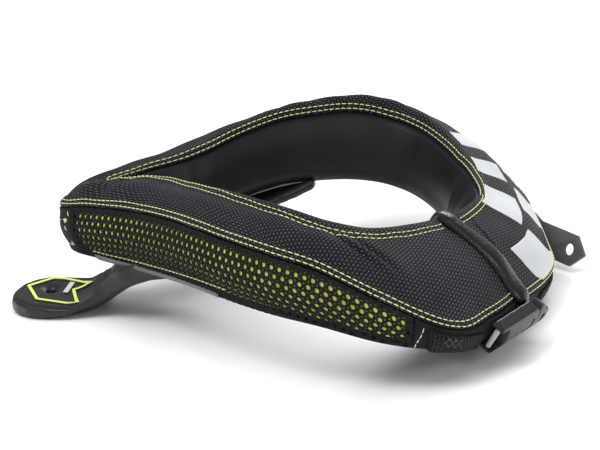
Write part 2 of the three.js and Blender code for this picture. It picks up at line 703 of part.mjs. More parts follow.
// Lean the collar until its tongue and its front are both down on the floor
const lowestOf = (meshes) => Math.min(...meshes.map((mesh) => new THREE.Box3().setFromObject(mesh, true).min.z));
const restPieces = { back: [], front: [] };
brace.traverse((mesh) => {
  if (mesh.isMesh) {
    restPieces[mesh.name === 'back_yoke' ? 'back' : 'front'].push(mesh);
  }
});
const restSpan = crownLength + panelReach + tongueLength / 2;
const restRounds = 8;
for (let round = 0; round < restRounds; round += 1) {
  brace.updateMatrixWorld(true);
  brace.rotation.y += Math.atan((lowestOf(restPieces.front) - lowestOf(restPieces.back)) / restSpan);
}
brace.updateMatrixWorld(true);

// The middle of its footprint goes to the origin
const bounds = new THREE.Box3().setFromObject(brace, true);
const centre = bounds.getCenter(new THREE.Vector3());
brace.position.set(-centre.x, -centre.y, -bounds.min.z);

export default brace;
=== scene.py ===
import math

import bmesh
import bpy
import numpy as np
from mathutils import Matrix, Vector


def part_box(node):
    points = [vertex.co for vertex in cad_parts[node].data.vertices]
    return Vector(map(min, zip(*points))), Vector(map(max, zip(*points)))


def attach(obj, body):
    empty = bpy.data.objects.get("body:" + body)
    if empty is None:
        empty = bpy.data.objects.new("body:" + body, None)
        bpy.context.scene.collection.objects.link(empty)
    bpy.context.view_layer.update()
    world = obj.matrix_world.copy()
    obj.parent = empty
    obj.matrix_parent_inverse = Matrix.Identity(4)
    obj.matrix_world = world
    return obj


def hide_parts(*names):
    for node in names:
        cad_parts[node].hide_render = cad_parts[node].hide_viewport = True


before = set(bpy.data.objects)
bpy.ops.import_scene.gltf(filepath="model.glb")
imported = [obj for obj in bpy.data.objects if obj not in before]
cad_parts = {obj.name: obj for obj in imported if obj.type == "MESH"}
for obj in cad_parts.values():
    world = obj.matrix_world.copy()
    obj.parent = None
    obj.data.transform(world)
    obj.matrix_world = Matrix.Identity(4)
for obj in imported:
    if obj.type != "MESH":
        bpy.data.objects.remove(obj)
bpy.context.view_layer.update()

# The collar's driving sizes, the same as in its solids
CROWN_LENGTH, CROWN_HALF_WIDTH, CROWN_RISE = 238, 115, 36
PANEL_REACH, PANEL_FALL = 51, 50
WALL_HEIGHT, WALL_UNDERCUT = 46, 8
NECK_LEAN, NECK_DEPTH = 18, 55
REST_LEAN = math.radians(5.164)
CLEARANCE = 0.3
COVER = 2.5
LINER_INSET = 0.16
PUFFS = np.array([2, 4, 4.5, 0])
CUTS = np.array([9, 9, 6, 6])
CLOSURE = np.array([222, -57])
CLOSURE_TURN = math.radians(-6)
CAP_HALF = 7.5

# The half ring's rows, rear to front: crown x, y, z, aim, reach, fall, undercut, wall, lean, depth
ROWS = np.array([
    (0.000, 0.000, 0.10, 180, 0.76, 0.40, 1.00, 0.77, 0.88, 0.87),
    (0.084, 0.083, 0.30, 159, 0.71, 0.37, 0.75, 0.90, 0.82, 0.88),
    (0.181, 0.217, 0.49, 141, 0.58, 0.36, 0.50, 0.99, 0.78, 0.85),
    (0.286, 0.470, 0.74, 139, 0.45, 0.41, 0.50, 1.02, 0.78, 0.84),
    (0.382, 0.670, 0.91, 131, 0.42, 0.45, 0.50, 1.01, 0.83, 0.91),
    (0.471, 0.809, 0.98, 124, 0.44, 0.47, 0.50, 1.00, 0.89, 1.00),
    (0.580, 0.948, 1.00, 113, 0.46, 0.47, 0.60, 0.98, 1.00, 1.08),
    (0.685, 1.000, 0.89, 94, 0.49, 0.48, 0.50, 0.90, 1.05, 1.08),
    (0.782, 0.930, 0.72, 68, 0.80, 0.65, 0.60, 0.70, 1.10, 1.00),
    (0.866, 0.730, 0.58, 60, 1.20, 0.88, 0.90, 0.46, 1.10, 0.92),
    (0.924, 0.522, 0.47, 52, 1.25, 0.96, 1.40, 0.46, 1.10, 0.88),
    (0.966, 0.304, 0.38, 29, 1.02, 0.98, 1.70, 0.52, 1.15, 0.91),
    (1.000, 0.000, 0.31, 0, 1.00, 1.00, 1.80, 0.56, 1.15, 0.94),
]).T
X, Y, Z, AIM, REACH, FALL, UNDERCUT, WALL, LEAN, DEPTH = ROWS
LAST = len(X) - 1

# Spots round a section, as its solids count them, and the eight stretches between them
SPOTS = [0, 2, 6, 9, 13, 15, 20, 22, 25]
STRETCHES = len(SPOTS) - 1
NORMAL_STEP = 0.03
PANEL_TOP, PANEL_HEM, WALL_HEM, WALL_BASE = 7.1, 14.45, 14.55, 21
MESH_START, MESH_END = 0.62, 8.45


def rail(place, values, odd=False):
    """Catmull-Rom through one column of the rows, mirrored for negative places."""
    row = np.floor(place).astype(int)
    t = place - row

    def at(index):
        wrapped = (index + LAST) % (2 * LAST) - LAST
        found = values[np.abs(wrapped)]
        return np.where(wrapped < 0, -found, found) if odd else found

    a, b, c, d = at(row - 1), at(row), at(row + 1), at(row + 2)
    return b + 0.5 * t * (c - a + t * (2 * a - 5 * b + 4 * c - d + t * (3 * (b - c) + d - a)))


def flat_outline(place, turn):
    """The section's outline, across and up, at turn, which counts its eight stretches."""
    reach = PANEL_REACH * np.hypot(
        rail(place, REACH * np.cos(np.radians(AIM))), rail(place, REACH * np.sin(np.radians(AIM)), True))
    fall = rail(place, FALL) * PANEL_FALL
    wall = rail(place, WALL)
    corners = np.stack([
        np.stack([-rail(place, LEAN) * NECK_LEAN, -rail(place, DEPTH) * NECK_DEPTH], -1),
        np.zeros(place.shape + (2,)),
        np.stack([reach, -fall], -1),
        np.stack([reach - rail(place, UNDERCUT) * WALL_UNDERCUT, -fall - wall * WALL_HEIGHT], -1),
    ], -2)
    sides = np.roll(corners, -1, axis=-2) - corners
    lengths = np.linalg.norm(sides, axis=-1)
    ways = sides / lengths[..., None]
    turn = turn % STRETCHES
    corner = np.floor(turn / 2).astype(int)
    within = turn - 2 * corner

    def pick(values, index):
        return np.take_along_axis(values, index[..., None, None], -2)[..., 0, :]

    here, after = pick(corners, corner), pick(ways, corner)
    before = pick(ways, (corner + 3) % 4)
    length = np.take_along_axis(lengths, corner[..., None], -1)[..., 0]
    cut, next_cut = CUTS[corner], CUTS[(corner + 1) % 4]
    swell = PUFFS[corner] * np.where(corner == 2, wall ** 2, 1)
    t = np.clip(within, 0, 1)[..., None]
    start, end = here - before * cut[..., None], here + after * cut[..., None]
    point = (1 - t) ** 2 * start + 2 * t * (1 - t) * here + t ** 2 * end
    t = np.clip(within - 1, 0, 1)
    run = (length - cut - next_cut) * t
    outward = np.stack([-after[..., 1], after[..., 0]], -1)
    bulge = swell * (4 * t * (1 - t)) ** 1.5
    return point + after * run[..., None] + outward * bulge[..., None]


def skin(place, spot, offset=0.0):
    """Points on the collar's outer surface, offset proud of it, and the surface's normals."""
    place, spot, offset = np.broadcast_arrays(
        np.asarray(place, float), np.asarray(spot, float), np.asarray(offset, float))
    turn = np.interp(spot % SPOTS[-1], SPOTS, range(len(SPOTS)))
    flat = flat_outline(place, turn)
    way = flat_outline(place, turn + NORMAL_STEP) - flat_outline(place, turn - NORMAL_STEP)
    way /= np.linalg.norm(way, axis=-1)[..., None]
    normal = np.stack([-way[..., 1], way[..., 0]], -1)
    flat = flat + normal * offset[..., None]
    out_x = rail(place, REACH * np.cos(np.radians(AIM)))
    out_y = rail(place, REACH * np.sin(np.radians(AIM)), True)
    size = np.hypot(out_x, out_y)
    out = np.stack([out_x / size, out_y / size], -1)

    def lift(across_up):
        return np.concatenate([out * across_up[..., :1], across_up[..., 1:]], -1)

    crown = np.stack([
        rail(place, X) * CROWN_LENGTH, rail(place, Y, True) * CROWN_HALF_WIDTH,
        rail(place, Z) * CROWN_RISE], -1)
    return crown + lift(flat), lift(normal)


# The places between which the closure is looked for, and how often that stretch is halved
CLOSURE_SEARCH, HALVINGS = (-13.5, -8.0), 26


def place_at(spot, beside):
    """The place where the skin at spot lies beside the closure's middle plane by that much."""
    spot, beside = np.broadcast_arrays(np.asarray(spot, float), np.asarray(beside, float))
    low, high = (np.full(spot.shape, place) for place in CLOSURE_SEARCH)
    side = np.array([-math.sin(CLOSURE_TURN), math.cos(CLOSURE_TURN)])
    for _ in range(HALVINGS):
        middle = (low + high) / 2
        point = skin(middle, spot)[0]
        past = (point[..., :2] - CLOSURE) @ side > beside
        low, high = np.where(past, middle, low), np.where(past, high, middle)
    return (low + high) / 2


# From the collar's frame to the row frame: leaned to rest, then moved over the middle of its box
LEAN_AXES = np.array([
    (math.cos(REST_LEAN), 0, math.sin(REST_LEAN)), (0, 1, 0), (-math.sin(REST_LEAN), 0, math.cos(REST_LEAN))])
REST_MOVE = np.array([-109.901, 0, 87.115])


def lean(points):
    return np.asarray(points) @ LEAN_AXES.T


def from_row_frame(points):
    """Row frame millimetres in the collar's frame."""
    return (np.asarray(points) - REST_MOVE) @ LEAN_AXES


BUCKLE_HEADING, BUCKLE_TILT = math.radians(65), math.radians(30)
BUCKLE_ALONG = np.array([math.cos(BUCKLE_HEADING), math.sin(BUCKLE_HEADING), 0])
BUCKLE_ACROSS = np.array([
    math.sin(BUCKLE_HEADING) * math.sin(BUCKLE_TILT), -math.cos(BUCKLE_HEADING) * math.sin(BUCKLE_TILT),
    math.cos(BUCKLE_TILT)])
BUCKLE_OUT = np.cross(BUCKLE_ALONG, BUCKLE_ACROSS)
BUCKLE_BACK, BAR_DIAMETER, BUCKLE_THICK = -38, 3.4, 7.5
BUCKLE_HALF_WIDTH, BUCKLE_BOW = 10.5, 2.6


# The buckle's seat, found from its packed bar, which lies across the buckle's back
bar_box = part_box("adjuster_bar")
bar_middle = from_row_frame(500 * (np.array(bar_box[0]) + np.array(bar_box[1])))
buckle_seat = (bar_middle - (BUCKLE_BACK + BAR_DIAMETER) * BUCKLE_ALONG
               - (BUCKLE_THICK - BAR_DIAMETER) * BUCKLE_OUT)


def to_world(points):
    return (lean(points) + REST_MOVE) / 1000


# Meshes

def add_mesh(name, points, faces, material, uv=None):
    """A mesh object from points in the collar's frame, riding on the collar."""
    mesh = bpy.data.meshes.new(name)
    mesh.from_pydata(to_world(points).tolist(), [], [tuple(face) for face in faces])
    if uv is not None:
        layer = mesh.uv_layers.new(name="cloth")
        corners = np.zeros(len(mesh.loops), int)
        mesh.loops.foreach_get("vertex_index", corners)
        layer.data.foreach_set("uv", np.asarray(uv, float)[corners].ravel())
    mesh.polygons.foreach_set("use_smooth", [True] * len(mesh.polygons))
    mesh.materials.append(material)
    obj = bpy.data.objects.new(name, mesh)
    bpy.context.scene.collection.objects.link(obj)
    outward(obj)
    return obj


def outward(obj):
    """Turns the faces of a closed mesh outwards."""
    work = bmesh.new()
    work.from_mesh(obj.data)
    if work.calc_volume(signed=True) < 0:
        bmesh.ops.reverse_faces(work, faces=work.faces)
        work.to_mesh(obj.data)
    work.free()


def grid_faces(rows, columns, close):
    """The faces of a grid whose columns run round, and its rows too where close says so."""
    faces = []
    for i in range(rows if close else rows - 1):
        j = (i + 1) % rows
        for k in range(columns):
            m = (k + 1) % columns
            faces.append((i * columns + k, i * columns + m, j * columns + m, j * columns + k))
    return faces


def loft(loops, close):
    """The points and faces of a closed body through loops, an array of rows by points by 3."""
    rows, columns = loops.shape[:2]
    points = loops.reshape(-1, 3)
    faces = grid_faces(rows, columns, close)
    if not close:
        faces.append(tuple(range(columns))[::-1])
        faces.append(tuple((rows - 1) * columns + k for k in range(columns)))
    return points, faces


def run_along(points, axis):
    """The length run along one axis of a grid of points."""
    first = points.take([0], axis)
    return np.cumsum(np.linalg.norm(np.diff(points, axis=axis, prepend=first), axis=-1), axis=axis)


def laid_flat(place, spot):
    """Cloth coordinates in millimetres, measured along the skin and down it."""
    points = skin(place, spot)[0]
    return np.stack([run_along(points, 0), run_along(points, 1)], -1)


# How far a layer's edge drops, as a share of its thickness, and over how many millimetres
EDGE_DROP, EDGE_ROUNDNESS = 0.6, 1.2


def sew(name, place, spot, material, low, high, uv=None, roundness=EDGE_ROUNDNESS, relief=None):
    """A layer of cloth over a grid of places and spots, from low to high, its edges rounded."""
    flat = skin(place, spot)[0]
    across, along = run_along(flat, 1), run_along(flat, 0)
    edge = np.minimum(across, across[:, -1:] - across)
    edge = np.minimum(edge, np.minimum(along, along[-1:] - along))
    share = np.clip(edge / roundness, 0, 1)
    height = high - (high - low) * EDGE_DROP * (1 - np.sqrt(1 - (1 - share) ** 2))
    if relief is not None:
        height = height + relief
    outer = skin(place, spot, height)[0]
    inner = skin(place, spot, low)[0]
    loops = np.concatenate([outer, inner[:, ::-1]], axis=1)
    points, faces = loft(loops, False)
    if uv is not None:
        uv = np.concatenate([uv, uv[:, ::-1]], axis=1).reshape(-1, 2)
    return add_mesh(name, points, faces, material, uv)


def cloth_sheet(place, spot):
    """Works out the points of a piece's grid on the skin, in metres; nothing is done with them."""
    grid = skin(place, spot)[0] / 1000


def dress(obj, slot, *nodes):
    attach(obj, "root")
    if nodes:
        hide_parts(*nodes)
    return obj


# Materials

class Finish:
    """A material with short calls for its nodes."""

    def __init__(self, name, color, roughness, **sockets):
        self.material = bpy.data.materials.new(name)
        self.material.use_nodes = True
        self.tree = self.material.node_tree
        self.shader = self.tree.nodes["Principled BSDF"]
        self.shader.inputs["Base Color"].default_value = (*color, 1)
        self.shader.inputs["Roughness"].default_value = roughness
        for socket, value in sockets.items():
            self.shader.inputs[socket.replace("_", " ")].default_value = value

    def math(self, operation, a, b=None, c=None):
        node = self.tree.nodes.new("ShaderNodeMath")
        node.operation = operation
        for index, value in enumerate((a, b, c)):
            if isinstance(value, bpy.types.NodeSocket):
                self.tree.links.new(value, node.inputs[index])
            elif value is not None:
                node.inputs[index].default_value = value
        return node.outputs[0]

    def cloth(self):
        """The cloth coordinates in millimetres, as two sockets."""
        node = self.tree.nodes.new("ShaderNodeUVMap")
        node.uv_map = "cloth"
        split = self.tree.nodes.new("ShaderNodeSeparateXYZ")
        self.tree.links.new(node.outputs[0], split.inputs[0])
        return split.outputs[0], split.outputs[1]

    def place(self):
        return self.tree.nodes.new("ShaderNodeTexCoord").outputs["Object"]

    def noise(self, scale, detail=3):
        node = self.tree.nodes.new("ShaderNodeTexNoise")
        node.inputs["Scale"].default_value = scale
        node.inputs["Detail"].default_value = detail
        self.tree.links.new(self.place(), node.inputs["Vector"])
        return node.outputs[0]

    def cells(self, scale):
        node = self.tree.nodes.new("ShaderNodeTexVoronoi")
        node.inputs["Scale"].default_value = scale
        self.tree.links.new(self.place(), node.inputs["Vector"])
        return node.outputs["Distance"]

    def ramp(self, value, *stops):
        node = self.tree.nodes.new("ShaderNodeValToRGB")
        elements = node.color_ramp.elements
        while len(elements) < len(stops):
            elements.new(0.5)
        for element, (position, color) in zip(elements, stops):
            element.position = position
            element.color = (*color, 1)
        self.tree.links.new(value, node.inputs[0])
        return node.outputs[0]

    def spread(self, value, low, high):
        """value, from 0 to 1, spread between low and high."""
        return self.math("MULTIPLY_ADD", value, high - low, low)

    def color(self, socket):
        self.tree.links.new(socket, self.shader.inputs["Base Color"])

    def rough(self, socket):
        self.tree.links.new(socket, self.shader.inputs["Roughness"])

    def bump(self, height, distance, strength=1.0):
        node = self.tree.nodes.new("ShaderNodeBump")
        node.inputs["Distance"].default_value = distance / 1000
        node.inputs["Strength"].default_value = strength
        self.tree.links.new(height, node.inputs["Height"])
        if self.shader.inputs["Normal"].links:
            self.tree.links.new(self.shader.inputs["Normal"].links[0].from_socket, node.inputs["Normal"])
        self.tree.links.new(node.outputs[0], self.shader.inputs["Normal"])


def dome(finish, value, pitch):
    """A row of threads across value: 1 on each thread's middle and 0 between them."""
    wave = finish.math("SINE", finish.math("MULTIPLY", value, math.pi / pitch))
    return finish.math("ABSOLUTE", wave)


# How round a thread's ends are, and how high the weft stands beside the warp
THREAD_END, WEFT_HEIGHT = 0.35, 0.72


def basket(finish, u, v, pitch, stretch=1.0):
    """The height of a plain weave, whose threads go over and under by turns."""
    wide = pitch * stretch
    row = finish.math("FLOOR", finish.math("DIVIDE", v, pitch))
    column = finish.math("FLOOR", finish.math("DIVIDE", u, wide))
    turn = finish.math("MODULO", finish.math("ABSOLUTE", finish.math("ADD", row, column)), 2.0)
    across, along = dome(finish, v, pitch), dome(finish, u, wide)
    warp = finish.math("MULTIPLY", across, finish.math("POWER", along, THREAD_END))
    weft = finish.math("MULTIPLY", along, finish.math("POWER", across, THREAD_END))
    over = finish.math("MULTIPLY", warp, turn)
    under = finish.math("MULTIPLY", weft, finish.math("SUBTRACT", 1.0, turn))
    return finish.math("ADD", over, finish.math("MULTIPLY", under, WEFT_HEIGHT))


def make_weave(name, pitch, dark, light, stretch=1.0, depth=0.45):
    cloth = Finish(name, dark, 0.62, Sheen_Weight=0.03, Specular_IOR_Level=0.1)
    u, v = cloth.cloth()
    height = basket(cloth, u, v, pitch, stretch)
    # Noise that varies the strength of the painted glints at random
    glint_noise = cloth.noise(35)
    glint = cloth.math("MULTIPLY", cloth.math("POWER", height, 1.9), cloth.spread(glint_noise, 0.6, 1.3))
    middle = tuple(0.78 * a + 0.22 * b for a, b in zip(dark, light))
    # Painted light: the colour is lightest on the thread crowns, as painted glints, and darkest between the
    # threads, as painted shade
    cloth.color(cloth.ramp(glint, (0.0, tuple(0.35 * c for c in dark)), (0.45, middle), (0.95, light)))
    cloth.rough(cloth.spread(height, 0.8, 0.42))
    cloth.bump(height, depth)
    return cloth.material


def make_liner(name, dark, light):
    cloth = Finish(name, dark, 0.5, Sheen_Weight=0.02, Specular_IOR_Level=0.24)
    tone = cloth.noise(14, 4)
    cloth.color(cloth.ramp(tone, (0.3, dark), (0.7, light)))
    cloth.rough(cloth.spread(tone, 0.42, 0.58))
    cloth.bump(cloth.noise(900, 2), 0.08)
    cloth.bump(cloth.noise(45, 3), 0.5, 0.5)
    return cloth.material


def make_knit():
    cloth = Finish("vent_mesh", (0.01, 0.01, 0.012), 0.8, Specular_IOR_Level=0.12)
    height = cloth.noise(700, 2)
    # Random tone that follows the knit's relief: lighter where raised and darker in its hollows, as painted
    # shade
    cloth.color(cloth.ramp(height, (0.3, (0.004, 0.004, 0.005)), (0.75, (0.018, 0.018, 0.02))))
    cloth.bump(height, 0.2)
    return cloth.material


def make_underlay():
    cloth = Finish("vent_backing", (0.62, 0.68, 0.08), 0.7)
    tone = cloth.noise(60, 3)
    cloth.color(cloth.ramp(tone, (0.3, (0.46, 0.5, 0.05)), (0.75, (0.7, 0.74, 0.14))))
    cloth.bump(cloth.noise(1100, 2), 0.15)
    return cloth.material


def make_leatherette():
    hide = Finish("pebbled_leatherette", (0.012, 0.012, 0.014), 0.2, Specular_IOR_Level=0.3,
                  Coat_Weight=0.12, Coat_Roughness=0.12)
    pebble = hide.cells(650)
    # The colour is darker in the hollows between the pebbles: painted shade
    hide.color(hide.ramp(pebble, (0.1, (0.012, 0.012, 0.014)), (0.8, (0.004, 0.004, 0.005))))
    hide.rough(hide.spread(pebble, 0.18, 0.4))
    hide.bump(hide.math("SUBTRACT", 1.0, pebble), 0.2)
    hide.bump(hide.noise(90, 3), 0.8, 0.6)
    return hide.material


def make_moulded(name, color, roughness, grain, depth, **sockets):
    plastic = Finish(name, color, roughness, **sockets)
    tone = plastic.noise(22, 3)
    light = tuple(1.25 * c for c in color)
    plastic.color(plastic.ramp(tone, (0.3, color), (0.75, light)))
    plastic.rough(plastic.spread(plastic.noise(160, 3), roughness - 0.06, roughness + 0.1))
    plastic.bump(plastic.noise(grain, 3), depth)
    return plastic.material


def make_thread():
    thread = Finish("neon_thread", (0.72, 0.8, 0.3), 0.55, Sheen_Weight=0.3)
    twist = thread.noise(1500, 1)
    # The colour is lighter where the twist stands raised and darker in its hollows: painted light and shade
    thread.color(thread.ramp(twist, (0.3, (0.5, 0.58, 0.16)), (0.7, (0.85, 0.92, 0.45))))
    thread.bump(twist, 0.1)
    return thread.material


# Each weave's lighter colour is the colour of its painted glints
weave = make_weave("ballistic_weave", 1.75, (0.002, 0.002, 0.003), (0.12, 0.121, 0.14), 1.25)
patch_weave = make_weave("patch_weave", 0.9, (0.009, 0.009, 0.01), (0.03, 0.03, 0.034), 1.0, 0.2)
ribbed = make_weave("ribbed_webbing", 1.1, (0.008, 0.008, 0.009), (0.035, 0.035, 0.04), 2.4, 0.35)
liner = make_liner("smooth_liner", (0.005, 0.005, 0.0065), (0.011, 0.0115, 0.014))
# A lighter copy of the liner: painted reflection of the pale floor along the liner's lower edge
liner_painted_reflection = make_liner("floor_reflection_strip", (0.11, 0.108, 0.108), (0.17, 0.168, 0.168))
knit = make_knit()
underlay = make_underlay()
leatherette = make_leatherette()
yoke_rubber = make_moulded("yoke_rubber", (0.009, 0.009, 0.0105), 0.36, 900, 0.05, Specular_IOR_Level=0.4)
neon_print = make_moulded("neon_print", (0.6, 0.72, 0.16), 0.5, 1200, 0.05)
white_print = make_moulded("white_print", (0.5, 0.513, 0.54), 0.45, 900, 0.05)
buckle_plastic = make_moulded(
    "buckle_plastic", (0.012, 0.012, 0.014), 0.24, 1300, 0.03, Specular_IOR_Level=0.4)
# The bar's light grey is painted highlight on the buckle's black glossy plastic
bar_highlight_plastic = make_moulded("bar_highlight_plastic", (0.34, 0.34, 0.35), 0.4, 1300, 0.04)
tab_plastic = make_moulded("stamped_tab", (0.075, 0.075, 0.078), 0.5, 1100, 0.1)
thread = make_thread()
thread_dark = make_moulded("dark_thread", (0.06, 0.06, 0.066), 0.6, 1500, 0.08)


# The cloth's flat pattern: a curve along the panel's middle, unrolled, with the way across it

UNROLL_SPOT, UNROLL_SHARE, UNROLL_START = 10.5, 0.55, 3.5
UNROLL_END, UNROLL_COUNT = 13.5, 600
unroll_places = np.linspace(0, UNROLL_END, UNROLL_COUNT)


def unroll():
    line = skin(unroll_places, UNROLL_SPOT)[0]
    step = np.gradient(line, unroll_places, axis=0)
    heading = np.unwrap(np.arctan2(step[:, 1], step[:, 0]))
    heading = UNROLL_SHARE * (heading - np.interp(UNROLL_START, unroll_places, heading))
    speed = np.linalg.norm(step, axis=1) * np.gradient(unroll_places)
    flat = np.stack([np.cumsum(speed * np.cos(heading)), np.cumsum(speed * np.sin(heading))], -1)
    return heading, flat


unroll_heading, unroll_line = unroll()


def pattern(place, spot):
    """Where a point of the panels lies on the flat cloth, in millimetres."""
    along = np.abs(place)
    lengths = run_along(skin(place, spot)[0], 1)
    middle = np.array([np.interp(UNROLL_SPOT, row, run) for row, run in zip(spot, lengths)])
    across = lengths - middle[:, None]
    heading = np.interp(along, unroll_places, unroll_heading)
    line = [np.interp(along, unroll_places, unroll_line[:, axis]) for axis in (0, 1)]
    return np.stack([line[0] - across * np.sin(heading), line[1] + across * np.cos(heading)], -1)


# Padding and liner

def smooth_step(value):
    t = np.clip(value, 0, 1)
    return t * t * (3 - 2 * t)


def dent(place, spot, at_place, at_spot, wide, high, slant=0.0):
    """A soft dent or fold, 1 in its middle, slanted across the panel."""
    across = (spot - at_spot) / high
    along = (place - at_place) / wide - slant * across
    return np.exp(-along ** 2 - across ** 2)


PADDING_ROWS, PADDING_COLUMNS = 384, 120
# The liner's step down under the cloth: its lead and width at the cover's top and at the wall's base
TOP_STEP, BASE_STEP = (0.3, 0.35), (0.25, 0.3)
# The liner's folds in the neck opening, as places and depths in millimetres, and the shape of each
LINER_FOLDS = ((10.6, 1.6), (11.15, -1.1), (11.6, 1.3), (-11.8, -1.0), (8.3, 0.7), (2.1, -1.0))
FOLD_SPOT, FOLD_WIDE, FOLD_HIGH, FOLD_SLANT = 4.2, 0.17, 2.2, 0.4


def add_padding():
    rows, columns = PADDING_ROWS, PADDING_COLUMNS
    place = np.linspace(-LAST, LAST, rows, endpoint=False)[:, None] + np.zeros((1, columns))
    spot = np.linspace(0, SPOTS[-1], columns, endpoint=False)[None, :] + np.zeros((rows, 1))
    covered = smooth_step((spot - top_spot(place) + TOP_STEP[0]) / TOP_STEP[1])
    covered *= smooth_step((WALL_BASE + BASE_STEP[0] - spot) / BASE_STEP[1])
    offset = -LINER_INSET - (COVER + 2 * CLEARANCE) * covered
    for at_place, depth in LINER_FOLDS:
        fold = dent(place, spot, at_place, FOLD_SPOT, FOLD_WIDE, FOLD_HIGH, FOLD_SLANT)
        offset += depth * fold * (1 - covered)
    points, faces = loft(skin(place, spot, offset)[0], True)
    body = add_mesh("foam_liner", points, faces, liner)
    return dress(body, "liner", "foam_pad")


# Where the top panel starts: on the far side it wraps over the crown into the neck opening
TOP_PLACES = [0, 2.5, 7, 10, 12]
TOP_SPOTS = [PANEL_TOP, 5.9, 5.4, 5.9, PANEL_TOP]


def top_spot(place):
    wrapped = np.where(place > LAST, place - 2 * LAST, place)
    return np.interp(wrapped, TOP_PLACES, TOP_SPOTS)


# The near panel's hem rises to the seam in a rounded corner
CORNER_FROM, CORNER_TO, CORNER_LENGTH, CORNER_RISE = -9.35, -11.0, 0.8, 0.95


def hem_spot(place):
    """The spot where the top panel ends."""
    near = np.where(place > LAST, place - 2 * LAST, place)
    rise = smooth_step((CORNER_FROM - near) / CORNER_LENGTH) * (near < 0) * (near > CORNER_TO)
    return PANEL_HEM - CORNER_RISE * rise


# The panel's folds and dents: depth in millimetres, then place, spot, width, height and slant
PANEL_FOLDS = (
    (-3.0, -7.55, 10.5, 0.1, 1.0, -3.5),
    (1.4, -7.75, 10.6, 0.12, 1.0, -3.0),
    (-2.4, -7.95, 10.5, 0.09, 0.9, -3.5),
    (-1.6, -8.7, 9.9, 0.2, 1.0, 0.3),
    (-2.6, -1.0, 10.5, 0.2, 2.2, -0.4),
    (1.2, -0.6, 11.0, 0.25, 2.0, -0.4),
    (-0.9, 6.3, 10.8, 0.3, 1.6, 0.5),
)
# The panel's slight unevenness, and the spots over which all relief fades in from the neck edge
UNEVENNESS, RELIEF_FADE = 0.5, 1.5


def panel_relief(place, spot):
    """The panel's folds and dents, in millimetres."""
    folds = sum(depth * dent(place, spot, *fold) for depth, *fold in PANEL_FOLDS)
    waves = np.sin(5.1 * place + 0.8 * spot) * np.sin(0.9 * spot + 2.2 * place)
    return folds + UNEVENNESS * waves


def faded_relief(place, spot):
    return panel_relief(place, spot) * smooth_step((spot - top_spot(place)) / RELIEF_FADE)


# The cover's edges at the closure depend on its spots and its spots on them, so both are redone
GRID_ROUNDS = 4
COVER_ROWS, COVER_COLUMNS, COVER_ROUNDNESS = 520, 60, 1.6


def cover_grid(rows, columns, beside):
    """Places and spots of a layer that runs all round, from one side of the closure to the other."""
    share = np.linspace(0, 1, rows)[:, None]
    spots = np.linspace(0, 1, columns)[None, :]
    spot = PANEL_TOP + (PANEL_HEM - PANEL_TOP) * spots + 0 * share
    for _ in range(GRID_ROUNDS):
        start = place_at(spot[0], -beside)
        stop = place_at(spot[-1], beside) + 2 * LAST
        place = start[None, :] + (stop - start)[None, :] * share
        spot = top_spot(place) + (hem_spot(place) - top_spot(place)) * spots
    return place, spot


def add_top_panel():
    place, spot = cover_grid(COVER_ROWS, COVER_COLUMNS, CAP_HALF + CLEARANCE)
    cover = sew("top_cover", place, spot, weave, -COVER, 0.0, pattern(place, spot), COVER_ROUNDNESS,
                faded_relief(place, spot))
    return dress(cover, "weave", "top_panel")


# Side vents: a black net with round holes over a yellow-green backing

HOLE_PITCH, HOLE_RADIUS, HOLE_SIDES = 5.6, 1.45, 12
# Where the strip of painted floor reflection lies on the liner's lower edge, in places and spots
REFLECTION_PLACES, REFLECTION_SPOTS = (1.0, 4.6), (20.15, 22.0)
NET_THICKNESS = 0.7
# A cell's outer edge, its rim's crest, and the hole's upper and lower edge, as heights on the skin
NET_HEIGHTS = np.array([0.0, 0.12, -0.1, -NET_THICKNESS])
RIM_SHARE, LEAST_CELL, LEAST_MARGIN = 1.14, 0.4, 0.5
WALL_ROWS, WALL_COLUMNS, DEPTH_STEPS = 200, 80, 160


class Wall:
    """The outer wall of one side, laid out flat in millimetres along it and down it."""

    def __init__(self, sign):
        self.sign = sign
        self.places = np.linspace(MESH_START, MESH_END, WALL_ROWS)
        spots = np.linspace(WALL_HEM, WALL_BASE, WALL_COLUMNS)
        grid = skin(sign * self.places[:, None] + 0 * spots, spots + 0 * self.places[:, None])[0]
        down = run_along(grid, 1)
        self.along = run_along(grid[:, WALL_COLUMNS // 2], 0)
        self.depth = down[:, -1]
        self.downs = np.linspace(0, self.depth.max(), DEPTH_STEPS)
        self.spots = np.array([np.interp(self.downs, row, spots) for row in down])

    def locate(self, along, down):
        row = np.interp(along, self.along, np.arange(len(self.along)))
        column = np.interp(down, self.downs, np.arange(len(self.downs)))
        i, k = np.floor(row).astype(int), np.floor(column).astype(int)
        j, m = np.minimum(i + 1, len(self.along) - 1), np.minimum(k + 1, len(self.downs) - 1)
        a, b = row - i, column - k
        spot = (self.spots[i, k] * (1 - a) + self.spots[j, k] * a) * (1 - b)
        spot += (self.spots[i, m] * (1 - a) + self.spots[j, m] * a) * b
        return self.sign * np.interp(along, self.along, self.places), spot

    def depth_at(self, along):
        return np.interp(along, self.along, self.depth)


def net_cells(wall):
    """The centres of the net's cells, in staggered rows."""
    step = HOLE_PITCH * math.sqrt(3) / 2
    length = wall.along[-1]
    centres = []
    for row in range(int(wall.depth.max() / step) + 2):
        for column in range(int(length / HOLE_PITCH) + 2):
            centres.append(((column + 0.5 * (row % 2)) * HOLE_PITCH, (row + 0.3) * step))
    return np.array(centres), length


